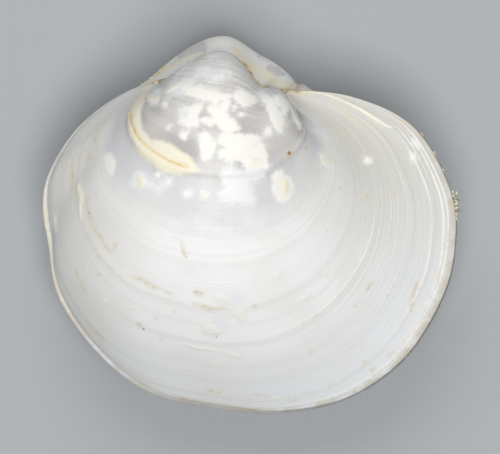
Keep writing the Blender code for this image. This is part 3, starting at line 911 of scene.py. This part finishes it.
def build_ligament():
    """The ligament's band, with uneven fibres along it."""
    path = np.array(LIGAMENT_MM)
    steps = 90
    round_count = 40
    t = np.linspace(0, 1, steps)
    knots = np.linspace(0, 1, len(path))
    x = np.interp(t, knots, path[:, 0])
    y = np.interp(t, knots, path[:, 1])
    width = LIGAMENT_RADIUS * (1 - (1 - LIGAMENT_ENDS) * np.abs(2 * t - 1) ** 2)
    rings = []
    for i in range(steps):
        turn = np.arange(round_count) / round_count * 2 * math.pi
        radius = np.full(round_count, width[i])
        for j in range(round_count):
            at = Vector((t[i] * 5, math.cos(turn[j]) * 2.5, math.sin(turn[j]) * 2.5))
            radius[j] *= 0.97 + 0.10 * noise.noise(at * 2.2)
        rings.append(np.column_stack([np.full(round_count, x[i]), y[i] + radius * np.cos(turn),
                                      LIGAMENT_SQUEEZE * radius * np.sin(turn)]))
    rings = np.array(rings)
    ends = np.array([[x[0] + 0.02, y[0], 0], [x[-1] - 0.02, y[-1], 0]])
    points = to_world(np.vstack([rings.reshape(-1, 3), ends]))
    faces, _ = grid_faces(steps, round_count)
    mesh = bpy.data.meshes.new("ligament_band")
    mesh.from_pydata((points * MM).tolist(), [], faces)
    mesh.shade_smooth()
    face_out(mesh)
    return new_object("ligament_band", mesh)


def face_out(mesh):
    """Turns the faces of a closed mesh outwards."""
    solid = bmesh.new()
    solid.from_mesh(mesh)
    if solid.calc_volume(signed=True) < 0:
        bmesh.ops.reverse_faces(solid, faces=solid.faces)
    solid.to_mesh(mesh)
    solid.free()


def add_grain(mesh, at, size, draw, flatness=1.0):
    """A rough little stone or flake, in mm, with its middle at the place given."""
    made = bmesh.ops.create_icosphere(mesh, subdivisions=2, radius=1)
    stretch = Vector(draw.uniform(0.75, 1.25, 3))
    stretch.z *= flatness
    seed = Vector(draw.uniform(0, 50, 3))
    for vertex in made["verts"]:
        rough = 1 + 0.35 * noise.noise(vertex.co * 1.4 + seed)
        vertex.co = Vector([c * s * rough * size for c, s in zip(vertex.co, stretch)]) + Vector(at)


def finish_grains(name, mesh):
    """Makes a piece of the grains, which are in mm."""
    for vertex in mesh.verts:
        vertex.co *= MM
    data = bpy.data.meshes.new(name)
    mesh.to_mesh(data)
    mesh.free()
    return new_object(name, data)


# Sand on the margin: the share of the way round, how many grains, how far they spread along and out in mm.
# Then the grains' half-sizes, their spread across the margin, how far off it they start, how far their
# middles stand off their seats by their own size, and the radius of the margin's curve.
SAND = (
    (0.192, 22, 0.13, 0.05), (0.203, 12, 0.10, 0.04), (0.150, 4, 0.05, 0.02), (0.166, 5, 0.05, 0.03),
    (0.134, 3, 0.04, 0.02), (0.226, 2, 0.03, 0.01), (0.335, 3, 0.05, 0.02), (0.375, 2, 0.03, 0.01),
)
GRAIN_SIZES = (0.018, 0.042)
SAND_ACROSS = 0.05
SAND_START = 0.03
GRAIN_SEAT = 0.3
MARGIN_CURVE = 4.5


def build_sand():
    """Grains of fine sand, each a rough little stone, stuck to the outside of the margin."""
    draw = np.random.default_rng(7)
    sand = bmesh.new()
    samples = 2000
    almost_full = 0.998
    shares = np.linspace(0, 1, samples, endpoint=False)
    margin = to_world(place(*ring(almost_full, shares, 1), almost_full, 1))
    middle = margin.mean(axis=0)
    for share, count, spread, depth in SAND:
        at = int(share * samples)
        along = Vector(margin[at + 5] - margin[at - 5]).normalized()
        out = Vector(margin[at] - middle)
        out -= out.dot(along) * along
        out.normalize()
        across = along.cross(out)
        for _ in range(count):
            size = draw.uniform(*GRAIN_SIZES)
            sideways = draw.normal(0, spread)
            foot = Vector(margin[at]) + along * sideways + across * draw.normal(0, SAND_ACROSS)
            curved_in = sideways ** 2 / (2 * MARGIN_CURVE)
            foot += out * (SAND_START + abs(draw.normal(0, depth)) - curved_in)
            add_grain(sand, foot + out * size * GRAIN_SEAT, size, draw)
    return finish_grains("sand_grains", sand)


# Flakes of dried ligament on the left valve's edge: mm to the right and above as seen, and the size in mm.
# Then the step in mm, to the right and down, by which each looks for shell to sit on, and how flat they are.
FLAKES = (
    (-2.50, 0.11, 0.040), (-2.43, 0.17, 0.050), (-2.36, 0.25, 0.044), (-2.30, 0.29, 0.052),
    (-2.22, 0.34, 0.034), (-2.84, -0.09, 0.040), (-2.76, -0.04, 0.032), (-2.02, 0.49, 0.030),
    (-2.62, 0.05, 0.036), (-1.72, 0.68, 0.024),
)
FLAKE_STEP = (0.015, -0.03)
FLAKE_FLATNESS = 0.6


def seen_to_world(right, up):
    """World x and y in mm of a place seen so many mm to the right of and above the hinge axis."""
    x = HINGE_AT.x + right * math.cos(CAMERA_ROLL) - up * math.sin(CAMERA_ROLL)
    y = HINGE_AT.y + right * math.sin(CAMERA_ROLL) + up * math.cos(CAMERA_ROLL)
    return x, y


def build_flakes(carriers):
    """Small flakes, each set on the shell below the place where it is seen."""
    draw = np.random.default_rng(3)
    flakes = bmesh.new()
    for right, up, size in FLAKES:
        for step in range(12):
            x, y = seen_to_world(right + FLAKE_STEP[0] * step, up + FLAKE_STEP[1] * step)
            above = Vector((x * MM, y * MM, 20 * MM))
            hits = [c.ray_cast(above, Vector((0, 0, -1))) for c in carriers]
            tops = [where.z for struck, where, _, _ in hits if struck]
            if tops:
                add_grain(flakes, (x, y, max(tops) / MM + GRAIN_SEAT * size), size, draw, FLAKE_FLATNESS)
                break
    return finish_grains("ligament_flakes", flakes)


# ---- floor, light and camera

def build_floor():
    mesh = bpy.data.meshes.new("floor")
    half = 0.4
    corners = [(-half, -half, 0), (half, -half, 0), (half, half, 0), (-half, half, 0)]
    mesh.from_pydata(corners, [], [(0, 1, 2, 3)])
    mesh.materials.append(paper_floor("matt_grey_card"))
    floor = new_object("floor", mesh)


def add_softbox(name, place_at, size, power):
    light = bpy.data.lights.new(name, "AREA")
    light.shape = "DISK"
    light.size = size
    light.energy = power
    lamp = new_object(name, light)
    lamp.location = place_at
    lamp.rotation_euler = (-Vector(place_at)).to_track_quat("-Z", "Y").to_euler()


def light_scene():
    """Soft studio light: a broad softbox almost overhead, and a weaker one on the hinge side."""
    add_softbox("key_softbox", (0.02, -0.08, 0.385), 0.20, 1.22)
    add_softbox("hinge_side_softbox", (-0.05, 0.22, 0.28), 0.25, 0.46)
    world = bpy.data.worlds.new("studio")
    world.use_nodes = True
    world.node_tree.nodes["Background"].inputs["Color"].default_value = linear("f0f0f0")
    world.node_tree.nodes["Background"].inputs["Strength"].default_value = 0.22
    bpy.context.scene.world = world


# A long lens, whose frame is this wide at this height above the floor, both in mm
LENS_MM = 400
SENSOR_MM = 36
FRAME_WIDTH_MM = 500 / 41
FRAMED_HEIGHT_MM = 2.9
# The middle of the frame, in mm to the right of and above the hinge axis as the camera sees it
FRAME_MIDDLE = (-0.195, -3.585)


def set_camera():
    x, y = seen_to_world(*FRAME_MIDDLE)
    data = bpy.data.cameras.new("camera")
    data.lens = LENS_MM
    data.sensor_width = SENSOR_MM
    data.clip_start = 0.001
    data.clip_end = 5.0
    camera = new_object("camera", data)
    camera.location = (x * MM, y * MM, (FRAMED_HEIGHT_MM + FRAME_WIDTH_MM * LENS_MM / SENSOR_MM) * MM)
    camera.rotation_euler = (0, 0, CAMERA_ROLL)
    bpy.context.scene.camera = camera


# ---- the scene

right, right_points, _ = build_valve("right_shell", 1)
right_marks(right, right_points)
# Its greyish tan by the front and rear of the hinge is partly thin shell and partly painted shade
right.data.materials.append(aragonite("aragonite_right", {
    "cap": "b2afac", "band": "cfd0d2", "body": "f1f1f0", "late": "e6e9ea", "line": "dcdbd8",
    "warm": "e6e4df", "thin_and_shaded": "c2c0b8", "edge": "c8bda6", "crevice": "e3d5b2", "deep": "86672f",
}))

left, left_points, left_stages = build_valve("left_shell", -1)
left_marks(left, left_points, left_stages)
left.data.materials.append(aragonite("aragonite_left", {
    "cap": "e3e2e0", "band": "dadbdc", "body": "e4e4e3", "late": "e2e5e6", "line": "d0cdc6",
    "warm": "dad5ca", "thin_and_shaded": "d0cec8", "edge": "d2c8b0", "crevice": "f1ead8", "deep": "e9dfc8",
}))

ligament = build_ligament()
ligament.data.materials.append(conchiolin("dried_conchiolin", "8f7440", "c9b58a"))
bpy.context.view_layer.update()
flakes = build_flakes((left, right, ligament))
flakes.data.materials.append(conchiolin("bleached_conchiolin", "bfa878", "ddd0ac"))

sand = build_sand()
sand.data.materials.append(quartz_sand("quartz_sand"))

for piece in (right, left, ligament, flakes, sand):
    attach(piece, "root")
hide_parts("right_valve")
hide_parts("left_valve")
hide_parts("ligament")

build_floor()
light_scene()
set_camera()
# The colours are given as sRGB, so the picture is shown without a film curve
bpy.context.scene.view_settings.view_transform = "Standard"
